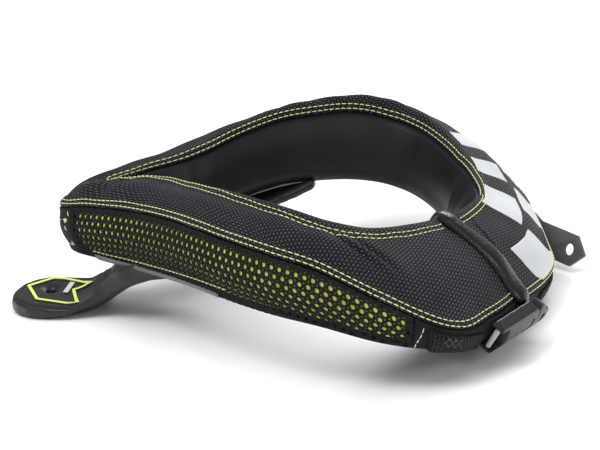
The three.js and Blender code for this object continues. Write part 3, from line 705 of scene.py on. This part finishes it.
def add_net(name, sign, node):
    """Cells with a rimmed hole each. Where three cells meet, a small opening stays between them."""
    wall = Wall(sign)
    centres, length = net_cells(wall)
    points, faces = [], []
    ring = np.arange(HOLE_SIDES) * 2 * math.pi / HOLE_SIDES + math.pi / HOLE_SIDES
    spokes = np.stack([np.cos(ring), np.sin(ring)], -1)
    edge = HOLE_PITCH / 2 / math.cos(math.pi / HOLE_SIDES)

    def clip(flat):
        along = np.clip(flat[:, 0], 0, length)
        return np.stack([along, np.clip(flat[:, 1], 0, wall.depth_at(along))], -1)

    for centre in centres:
        outer = clip(centre + spokes * edge)
        if min(np.ptp(outer, axis=0)) < LEAST_CELL:
            continue
        hole = centre + HOLE_RADIUS * spokes
        margin = min(hole[:, 0].min(), length - hole[:, 0].max(), hole[:, 1].min(),
                     float(np.min(wall.depth_at(hole[:, 0]) - hole[:, 1])))
        base = len(points)
        if margin < LEAST_MARGIN:
            points += [(*p, 0) for p in outer]
            faces.append(tuple(base + k for k in range(HOLE_SIDES)))
            continue
        rim = centre + (hole - centre) * RIM_SHARE
        points += [(*p, level) for level, loop in enumerate((outer, rim, hole, hole)) for p in loop]
        for k in range(HOLE_SIDES):
            m = (k + 1) % HOLE_SIDES
            for level in range(len(NET_HEIGHTS) - 1):
                a, b = base + level * HOLE_SIDES, base + (level + 1) * HOLE_SIDES
                faces.append((a + k, a + m, b + m, b + k))
    flat = np.array(points)
    height = NET_HEIGHTS[flat[:, 2].astype(int)]
    place, spot = wall.locate(flat[:, 0], flat[:, 1])
    net = add_mesh(name, skin(place, spot, height)[0], faces, knit)
    place, spot = np.meshgrid(
        sign * np.linspace(MESH_START, MESH_END, 150), np.linspace(WALL_HEM, WALL_BASE, 40), indexing="ij")
    cloth_sheet(place, spot)
    return dress(net, "mesh", node)


# The backing's ends beside the net's, its top and bottom inset, and its lower and upper side
BACKING_ENDS, BACKING_INSET = (0.08, 0.1), (0.65, 1.1)
BACKING_LOW, BACKING_HIGH = -COVER + 0.1, -NET_THICKNESS - 0.2
# The light grey strip on the liner's lower edge, painted reflection of the pale floor: its lower and upper
# side and its edge roundness
REFLECTION_LOW, REFLECTION_HIGH, REFLECTION_ROUNDNESS = -0.5, 0.6, 2.2


def add_side(name, sign):
    place, spot = np.meshgrid(
        sign * np.linspace(MESH_START + BACKING_ENDS[0], MESH_END - BACKING_ENDS[1], 150),
        np.linspace(WALL_HEM + BACKING_INSET[0], WALL_BASE - BACKING_INSET[1], 26), indexing="ij")
    backing = sew(f"vent_backing_{name}", place, spot, underlay, BACKING_LOW, BACKING_HIGH)
    cloth_sheet(place, spot)
    dress(backing, "underlay", f"side_underlay_{name}")
    add_net(f"vent_net_{name}", sign, f"side_mesh_{name}")
    # A light grey strip on the liner's lower edge: painted reflection of the pale floor
    place, spot = np.meshgrid(
        sign * np.linspace(*REFLECTION_PLACES, 160), np.linspace(*REFLECTION_SPOTS, 14), indexing="ij")
    edge = sew(f"floor_reflection_strip_{name}", place, spot, liner_painted_reflection, REFLECTION_LOW, REFLECTION_HIGH, None,
               REFLECTION_ROUNDNESS)
    dress(edge, "liner")


# Plain cloth patches at the tail and round the front

# The gap between a patch and its neighbour, in places
PATCH_GAP = 0.012


def add_patches():
    gap = PATCH_GAP
    place, spot = np.meshgrid(
        np.linspace(-MESH_START + gap, MESH_START - gap, 60), np.linspace(WALL_HEM, WALL_BASE, 30),
        indexing="ij")
    tail = sew("tail_cloth", place, spot, patch_weave, -COVER, 0.05, laid_flat(place, spot))
    cloth_sheet(place, spot)
    dress(tail, "weave", "tail_patch")

    share = np.linspace(0, 1, 170)[:, None]
    spots = np.linspace(WALL_HEM, WALL_BASE, 30)[None, :] + 0 * share
    stop = place_at(spots[0], CAP_HALF + CLEARANCE) + 2 * LAST
    place = MESH_END + gap + (stop[None, :] - MESH_END - gap) * share
    front = sew("front_cloth", place, spots, patch_weave, -COVER, -0.2, laid_flat(place, spots))
    cloth_sheet(place, spots)
    dress(front, "weave", "front_patch")

    start = place_at(spots[0], -CAP_HALF - CLEARANCE)
    share = np.linspace(0, 1, 60)[:, None]
    place = start[None, :] + (-MESH_END - gap - start[None, :]) * share
    top = hem_spot(place[:, :1]) + 0.1
    spot = top + (WALL_BASE - top) * np.linspace(0, 1, 40)[None, :]
    place = np.array([np.interp(spot[i], spots[0], place[i]) for i in range(len(place))])
    near = sew("near_front_cloth", place, spot, patch_weave, -COVER, 0.0, laid_flat(place, spot))
    cloth_sheet(place, spot)
    dress(near, "weave", "near_front_patch")


# The closure's rolled cap

# The cap runs over the panel and then down the wall. It swells towards the hem, in width and height,
# and lies narrower and lower on the wall.
CAP_OVER, CAP_DOWN = (1.6, 14.6), (14.7, 21.0)
SWELL_WIDTH, WALL_TAPER = 2.0, 0.9
CAP_PROUD, SWELL_HEIGHT, WALL_DROP = 3.6, 0.9, 2.4
CAP_EDGE, CAP_FOOT, CAP_SQUARENESS = -1.8, -3.4, 2.4
CAP_WRINKLE = 0.35


def add_seam_cap():
    spots = np.concatenate([np.linspace(*CAP_OVER, 150), np.linspace(*CAP_DOWN, 40)])[:, None]
    across = np.linspace(-1, 1, 25)[None, :]
    swell = smooth_step((spots - 8.5) / 3.5) * smooth_step((15.2 - spots) / 1.5)
    half = CAP_HALF + SWELL_WIDTH * swell - WALL_TAPER * smooth_step((spots - 13.5) / 1.2)
    place = place_at(spots + 0 * across, across * half)
    share = smooth_step((spots - CAP_OVER[0]) / 1.5) * smooth_step((21.3 - spots) / 1.2)
    proud = (CAP_PROUD + SWELL_HEIGHT * swell - WALL_DROP * smooth_step((spots - 14.2) / 1.5)) * share
    profile = np.sqrt(np.clip(1 - np.abs(across) ** CAP_SQUARENESS, 0, 1))
    wrinkle = CAP_WRINKLE * np.sin(2.9 * spots + 1.3 * across) * profile
    top = skin(place, spots, CAP_EDGE + (proud - CAP_EDGE + wrinkle) * profile)[0]
    foot = skin(place, spots, CAP_FOOT)[0]
    points, faces = loft(np.concatenate([top, foot[:, ::-1]], axis=1), False)
    cap = add_mesh("closure_cap", points, faces, leatherette)
    return dress(cap, "leatherette", "seam_cap")


# Thread, print and small relief on the cloth

STITCH_STEP, STITCH_LENGTH, STITCH_RADIUS, STITCH_LEAD = 4.2, 3.4, 0.34, 0.3
STITCH_SIDES = 6
# A stitch's stations along its length, with its girth and its height there in radii
STATIONS = np.array([0, 0.12, 0.5, 0.88, 1.0])
GIRTH = np.array([0.25, 0.8, 1.0, 0.8, 0.25])
ARCH = np.array([-0.75, 0.0, 0.45, 0.0, -0.75])


def add_stitches(name, rows, material, slot="outline"):
    """Separate stitches along rows of points, each row with its normals."""
    turns = np.arange(STITCH_SIDES) * 2 * math.pi / STITCH_SIDES
    last = len(STATIONS) - 1
    points, faces = [], []
    for line, normals in rows:
        run = run_along(line, 0)
        for start in np.arange(STITCH_LEAD, run[-1] - STITCH_LENGTH, STITCH_STEP):
            at = start + STATIONS * STITCH_LENGTH
            middle = np.stack([np.interp(at, run, line[:, axis]) for axis in range(3)], -1)
            normal = np.stack([np.interp(at, run, normals[:, axis]) for axis in range(3)], -1)
            way = middle[-1] - middle[0]
            way /= np.linalg.norm(way)
            side = np.cross(way, normal)
            base = len(points)
            for k in range(len(STATIONS)):
                centre = middle[k] + normal[k] * STITCH_RADIUS * ARCH[k]
                for turn in turns:
                    spoke = math.cos(turn) * side[k] + math.sin(turn) * normal[k]
                    points.append(centre + spoke * STITCH_RADIUS * GIRTH[k])
            faces += [tuple(base + index for index in face)
                      for face in grid_faces(len(STATIONS), STITCH_SIDES, False)]
            faces.append(tuple(base + j for j in range(STITCH_SIDES))[::-1])
            faces.append(tuple(base + last * STITCH_SIDES + j for j in range(STITCH_SIDES)))
    obj = add_mesh(name, np.array(points), faces, material)
    return dress(obj, slot)


def on_panel(place, spot, proud):
    """A line on the top panel, with its normals."""
    place, spot = np.asarray(place, float), np.asarray(spot, float)
    return skin(place, spot, faded_relief(place, spot) + proud)


SEARCH_REACH, SEARCH_STEPS = 3.5, 60


def spot_from(place, first, distance):
    """The spot that lies a distance along the section past first, or before it if negative."""
    place = np.asarray(place, float)
    steps = np.linspace(0, 1, SEARCH_STEPS)
    reach = SEARCH_REACH if np.mean(distance) > 0 else -SEARCH_REACH
    first = np.broadcast_to(first, place.shape)
    spots = first[:, None] + reach * steps[None, :]
    runs = run_along(skin(place[:, None] + 0 * spots, spots)[0], 1)
    distances = np.abs(np.broadcast_to(distance, place.shape))
    return np.array([np.interp(far, run, row) for far, run, row in zip(distances, runs, spots)])


# How far the inner rows run from the panel's neck edge, round the ring, in millimetres
INNER_PLACES = [-12, -11, -7.5, -3.5, 0, 12]
INNER_RUNS = [3, 8, 8, 3, 2, 2]
# The double rows' distances, the spots where their ends are measured, and their clearance of the cap
INNER_EXTRAS, HEM_INSETS = (0.0, 3.2), (-5.4, -2.2)
INNER_END_SPOT, HEM_END_SPOT, ROW_CLEARANCE, THREAD_PROUD = 9.0, 13.2, 2.2, 0.22
# The inner rows' bends are rounded by a mean over places to either side
BEND_REACH, BEND_COUNT = 0.6, 13


def row_ends(spot):
    """The places on both sides of the cap between which the rows run."""
    ends = CAP_HALF + ROW_CLEARANCE
    return float(place_at(spot, -ends)), float(place_at(spot, ends)) + 2 * LAST


def add_panel_stitches():
    start, stop = row_ends(INNER_END_SPOT)
    rows = []
    for extra in INNER_EXTRAS:
        for first, last in ((start, 0.0), (0.0, stop)):
            place = np.linspace(first, last, 500)
            wrapped = np.where(place > LAST, place - 2 * LAST, place)
            spread = wrapped[:, None] + np.linspace(-BEND_REACH, BEND_REACH, BEND_COUNT)[None, :]
            run = np.interp(np.clip(spread, -LAST, LAST), INNER_PLACES, INNER_RUNS).mean(axis=1) + extra
            rows.append(on_panel(place, spot_from(place, top_spot(place), run), THREAD_PROUD))
    add_stitches("inner_stitching", rows, thread)
    rows = []
    start, stop = row_ends(HEM_END_SPOT)
    for inset in HEM_INSETS:
        place = np.linspace(start, stop, 1200)
        rows.append(on_panel(place, spot_from(place, hem_spot(place), inset), THREAD_PROUD))
    add_stitches("hem_stitching", rows, thread)


# The near wall's rows: under the net as places and spots, and down its front end likewise
UNDER_PLACES, UNDER_SPOTS = [1, 1.4, 5], [19.7, 19.7, 19.2]
END_SPOTS, END_PLACES = [15.4, 21], [-8.62, -8.5]
# The tail's rows: down the wall as a place and two spots, along it as two places and a spot
TAIL_DOWN = ((-0.5, 15.0, 15.9), (-0.43, 16.9, 18.0), (-0.46, 19.0, 20.2), (0.4, 15.4, 18.4))
TAIL_ALONG = ((0.2, -0.33, 16.2), (-0.2, -0.56, 19.6))
TAIL_SLANT, WALL_PROUD = 0.05, 0.3
# The star's middle and reach, in places and spots
STAR_MIDDLE, STAR_REACH, STAR_ARMS, STAR_PROUD = (-0.44, 16.3), (0.085, 0.4), 6, 0.35


def add_wall_stitches():
    place = np.linspace(-UNDER_PLACES[0], -UNDER_PLACES[-1], 120)
    rows = [skin(place, np.interp(-place, UNDER_PLACES, UNDER_SPOTS), WALL_PROUD)]
    spot = np.linspace(END_SPOTS[0], 20.8, 60)
    rows.append(skin(np.interp(spot, END_SPOTS, END_PLACES), spot, WALL_PROUD))
    for first, low, high in TAIL_DOWN:
        spot = np.linspace(low, high, 40)
        rows.append(skin(first - TAIL_SLANT * (spot - low), spot, WALL_PROUD))
    for start, stop, spot in TAIL_ALONG:
        rows.append(skin(np.linspace(start, stop, 40), spot, WALL_PROUD))
    add_stitches("wall_stitching", rows, thread)
    tack = []
    for turn in np.linspace(0, math.pi, STAR_ARMS, endpoint=False):
        reach = np.linspace(-1, 1, 20)
        place = STAR_MIDDLE[0] + STAR_REACH[0] * math.cos(turn) * reach
        spot = STAR_MIDDLE[1] + STAR_REACH[1] * math.sin(turn) * reach
        tack.append(skin(place, spot, STAR_PROUD))
    add_stitches("star_tack", tack, thread)


# The print: three pairs of slanted blocks over the front, as first places and widths
PRINT_PAIRS = ((8.95, 0.72), (10.25, 0.72), (11.5, 0.8))
PRINT_HALVES = ((8.5, 10.9, 0.0), (11.25, 13.7, 0.42))
PRINT_SLANT = -0.3
PRINT_LOW, PRINT_HIGH, PRINT_ROUNDNESS = -0.4, 0.25, 0.5


def add_print():
    for pair, (first, wide) in enumerate(PRINT_PAIRS):
        for half, (top, bottom, shift) in enumerate(PRINT_HALVES):
            spots = np.linspace(top, bottom, 40)[None, :]
            share = np.linspace(0, 1, 30)[:, None]
            place = first + shift + PRINT_SLANT * (spots - top) / (bottom - top) + wide * share
            spots = spots + 0 * share
            relief = panel_relief(place, spots)
            block = sew(f"print_block_{pair}_{half}", place, spots, white_print, PRINT_LOW, PRINT_HIGH,
                        pattern(place, spots), PRINT_ROUNDNESS, relief)
            dress(block, "label")


# The webbing on the outer wall

# Each strap's name and node, its first and last place, its spots, and its inner and outer side
STRAPS = (
    ("webbing_strap_near", "webbing_near", (-9.88, -8.86), (15.4, 21.0), (-0.3, 1.8)),
    ("webbing_strap_front", "webbing_front", (-12.9, -11.55), (15.4, 19.8), (-0.3, 1.8)),
    ("webbing_loop", "strap_keeper", (-8.96, -8.72), (15.4, 20.6), (-0.2, 3.4)),
)
STRAP_ROUNDNESS = 0.9
# The zigzag tack on the near strap
TACK_COUNT, TACK_PLACE, TACK_PITCH, TACK_LEAN, TACK_PROUD = 7, -9.3, 0.07, 0.12, 2.0
TACK_SPOTS, TACK_MIDDLE, TACK_HALF = (16.0, 20.2), 18.1, 2.1


def add_webbing():
    for name, node, ends, edges, sides in STRAPS:
        place, spot = np.meshgrid(np.linspace(*ends, 60), np.linspace(*edges, 30), indexing="ij")
        strap = sew(name, place, spot, ribbed, *sides, laid_flat(place, spot), STRAP_ROUNDNESS)
        dress(strap, "webbing", node)
    rows = []
    spot = np.linspace(*TACK_SPOTS, 30)
    for swing in range(TACK_COUNT):
        lean_by = TACK_LEAN if swing % 2 else -TACK_LEAN
        first = TACK_PLACE + TACK_PITCH * swing
        rows.append(skin(first + lean_by * (spot - TACK_MIDDLE) / TACK_HALF, spot, TACK_PROUD))
    add_stitches("webbing_tacks", rows, thread_dark, "webbing")


# Moulded parts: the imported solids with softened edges

WELD_DISTANCE = 0.00002
BEVEL_SEGMENTS, BEVEL_ANGLE, FLAT_ANGLE, SHARP_ANGLE = 3, 28, 2, 40


def moulded(name, node, material, slot, width, voxel=None, smooth=0):
    """A copy of a node, with bevels of that width, or remeshed at voxel millimetres and smoothed."""
    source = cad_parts[node]
    obj = bpy.data.objects.new(name, source.data.copy())
    obj.data.materials.clear()
    obj.data.materials.append(material)
    bpy.context.scene.collection.objects.link(obj)
    weld = obj.modifiers.new("weld", "WELD")
    weld.merge_threshold = WELD_DISTANCE
    if voxel:
        remesh = obj.modifiers.new("remesh", "REMESH")
        remesh.mode = "VOXEL"
        remesh.voxel_size = voxel / 1000
        soften = obj.modifiers.new("soften", "SMOOTH")
        soften.factor = 0.5
        soften.iterations = smooth
    else:
        flat = obj.modifiers.new("flat", "DECIMATE")
        flat.decimate_type = "DISSOLVE"
        flat.angle_limit = math.radians(FLAT_ANGLE)
        bevel = obj.modifiers.new("bevel", "BEVEL")
        bevel.width = width / 1000
        bevel.segments = BEVEL_SEGMENTS
        bevel.limit_method = "ANGLE"
        bevel.angle_limit = math.radians(BEVEL_ANGLE)
        bevel.use_clamp_overlap = True
    bpy.context.view_layer.update()
    ready = bpy.data.meshes.new_from_object(obj.evaluated_get(bpy.context.evaluated_depsgraph_get()))
    obj.modifiers.clear()
    obj.data = ready
    ready.polygons.foreach_set("use_smooth", [True] * len(ready.polygons))
    if not voxel:
        ready.set_sharp_from_angle(angle=math.radians(SHARP_ANGLE))
    return dress(obj, slot, node)


# The tongue's half width along its length, and the groove that runs inside its rim
TONGUE_ENDS = [-72, -69.5, -64, -55, -42, -26, -12]
TONGUE_HALVES = [4, 14, 21, 27, 29.5, 29.5, 28.5]
GROOVE_INSET, GROOVE_WIDE, GROOVE_DEEP, GROOVE_END = 4.6, 0.9, 0.9, -16
GROOVE_FADE, TIP_SHARE, UPWARD = 10, 0.9, 0.5
# The near flange is tucked under the collar: how far, between which lengths and from which width
FLANGE_TUCK, TUCK_FROM, TUCK_TO, TUCK_BESIDE = 10, (6, 16), (80, 18), (32, 24)


def own_points(mesh):
    """A mesh's points in metres, and the same in the collar's frame in millimetres."""
    points = np.empty(3 * len(mesh.vertices))
    mesh.vertices.foreach_get("co", points)
    points = points.reshape(-1, 3)
    return points, from_row_frame(1000 * points)


def crown_buckle(obj):
    """Bows the buckle's outer face, so that it is fullest along its middle."""
    points, local = own_points(obj.data)
    rel = local - buckle_seat
    across = np.clip(rel @ BUCKLE_ACROSS / BUCKLE_HALF_WIDTH, -1, 1)
    share = np.clip(rel @ BUCKLE_OUT / BUCKLE_THICK, 0, 1)
    bulge = BUCKLE_BOW * (1 - across ** 2) * share
    points = points + lean(BUCKLE_OUT) / 1000 * bulge[:, None]
    obj.data.vertices.foreach_set("co", points.ravel())
    obj.data.update()


def shape_tongue(obj):
    """Cuts the groove inside the tongue's rim, and tucks the near flange in."""
    mesh = obj.data
    points, local = own_points(mesh)
    normals = np.empty(3 * len(mesh.vertices))
    mesh.vertices.foreach_get("normal", normals)
    normals = normals.reshape(-1, 3)
    half = np.interp(local[:, 0], TONGUE_ENDS, TONGUE_HALVES)
    inset = np.minimum(half - np.abs(local[:, 1]), (local[:, 0] - TONGUE_ENDS[0]) * TIP_SHARE)
    groove = np.exp(-((inset - GROOVE_INSET) / GROOVE_WIDE) ** 2) * (normals[:, 2] > UPWARD)
    groove *= smooth_step((GROOVE_END - local[:, 0]) / GROOVE_FADE)
    points = points - normals * (GROOVE_DEEP / 1000 * groove)[:, None]
    tuck = smooth_step((local[:, 0] - TUCK_FROM[0]) / TUCK_FROM[1])
    tuck *= smooth_step((TUCK_TO[0] - local[:, 0]) / TUCK_TO[1])
    tuck *= smooth_step((-local[:, 1] - TUCK_BESIDE[0]) / TUCK_BESIDE[1])
    points[:, 1] += FLANGE_TUCK / 1000 * tuck
    mesh.vertices.foreach_set("co", points.ravel())
    mesh.update()


def add_moulded_parts():
    tongue = moulded("moulded_tongue", "back_yoke", yoke_rubber, "yoke", 0, voxel=1.1, smooth=26)
    shape_tongue(tongue)
    moulded("neon_outline", "tongue_outline", neon_print, "outline", 0.3)
    moulded("plain_label", "tongue_label", white_print, "label", 0.25)
    for name, node in (("buckle_housing", "buckle_body"), ("buckle_tongue", "buckle_latch")):
        crown_buckle(moulded(name, node, buckle_plastic, "plastic", 0, voxel=0.45, smooth=8))
    moulded("buckle_bar", "adjuster_bar", bar_highlight_plastic, "bar", 0.5)
    moulded("punched_tab", "anchor_tab", tab_plastic, "tab", 0.35)


add_padding()
add_top_panel()
add_side("near", -1)
add_side("far", 1)
add_patches()
add_seam_cap()
add_panel_stitches()
add_wall_stitches()
add_print()
add_webbing()
add_moulded_parts()


# Floor, light and camera

FLOOR_REACH, FLOOR_COLOR, FLOOR_ROUGHNESS = 6, (0.93, 0.93, 0.935), 0.9
WORLD_STRENGTH, SKY_STRENGTH, SKY_ANGLE = 0.42, 1.7, 60
# Each lamp's name, place in metres and power in watts
LAMPS = (("key", (-0.5, -0.6, 1.3), 9), ("fill", (1.1, -0.9, 0.8), 5), ("rim", (0.4, 1.2, 0.9), 8))
LAMP_SIZE = 0.6


def add_studio():
    floor_mesh = bpy.data.meshes.new("floor")
    corners = ((-1, -1), (1, -1), (1, 1), (-1, 1))
    floor_mesh.from_pydata([(FLOOR_REACH * x, FLOOR_REACH * y, 0) for x, y in corners], [], [(0, 1, 2, 3)])
    floor = bpy.data.objects.new("floor", floor_mesh)
    paint = Finish("pale_floor", FLOOR_COLOR, FLOOR_ROUGHNESS)
    floor_mesh.materials.append(paint.material)
    bpy.context.scene.collection.objects.link(floor)
    world = bpy.data.worlds.new("studio")
    world.use_nodes = True
    world.node_tree.nodes["Background"].inputs[0].default_value = (1, 1, 1, 1)
    world.node_tree.nodes["Background"].inputs[1].default_value = WORLD_STRENGTH
    bpy.context.scene.world = world
    bpy.context.scene.view_settings.view_transform = "Standard"
    for name, place, power in LAMPS:
        lamp = bpy.data.lights.new(name, "AREA")
        lamp.shape = "DISK"
        lamp.size = LAMP_SIZE
        lamp.energy = power
        light = bpy.data.objects.new(name, lamp)
        light.location = place
        light.rotation_mode = "QUATERNION"
        light.rotation_quaternion = (-Vector(place)).to_track_quat("-Z", "Y")
        bpy.context.scene.collection.objects.link(light)
    sun = bpy.data.lights.new("sky", "SUN")
    sun.energy = SKY_STRENGTH
    sun.angle = math.radians(SKY_ANGLE)
    sky = bpy.data.objects.new("sky", sun)
    sky.visible_glossy = False
    bpy.context.scene.collection.objects.link(sky)


# The photograph's camera, in the collar's frame
CAMERA_AZIMUTH, CAMERA_ELEVATION = math.radians(11), math.radians(21.3)
CAMERA_DISTANCE, CAMERA_TARGET, CAMERA_LENS, CAMERA_SENSOR = 1400, (123.4, 0, -21.8), 130.2, 36


def add_camera():
    a, e = CAMERA_AZIMUTH, CAMERA_ELEVATION
    back = np.array([math.sin(a) * math.cos(e), -math.cos(a) * math.cos(e), math.sin(e)])
    right = np.array([math.cos(a), math.sin(a), 0])
    up = np.cross(back, right)
    data = bpy.data.cameras.new("camera")
    data.lens = CAMERA_LENS
    data.sensor_width = CAMERA_SENSOR
    data.clip_start, data.clip_end = 0.05, 50
    camera = bpy.data.objects.new("camera", data)
    axes = [lean(way) for way in (right, up, back)]
    spot = to_world(np.array(CAMERA_TARGET) + CAMERA_DISTANCE * back)
    camera.matrix_world = Matrix([[*(float(way[row]) for way in axes), float(spot[row])] for row in range(3)]
                                 + [[0, 0, 0, 1]])
    bpy.context.scene.collection.objects.link(camera)
    bpy.context.scene.camera = camera


add_studio()
add_camera()
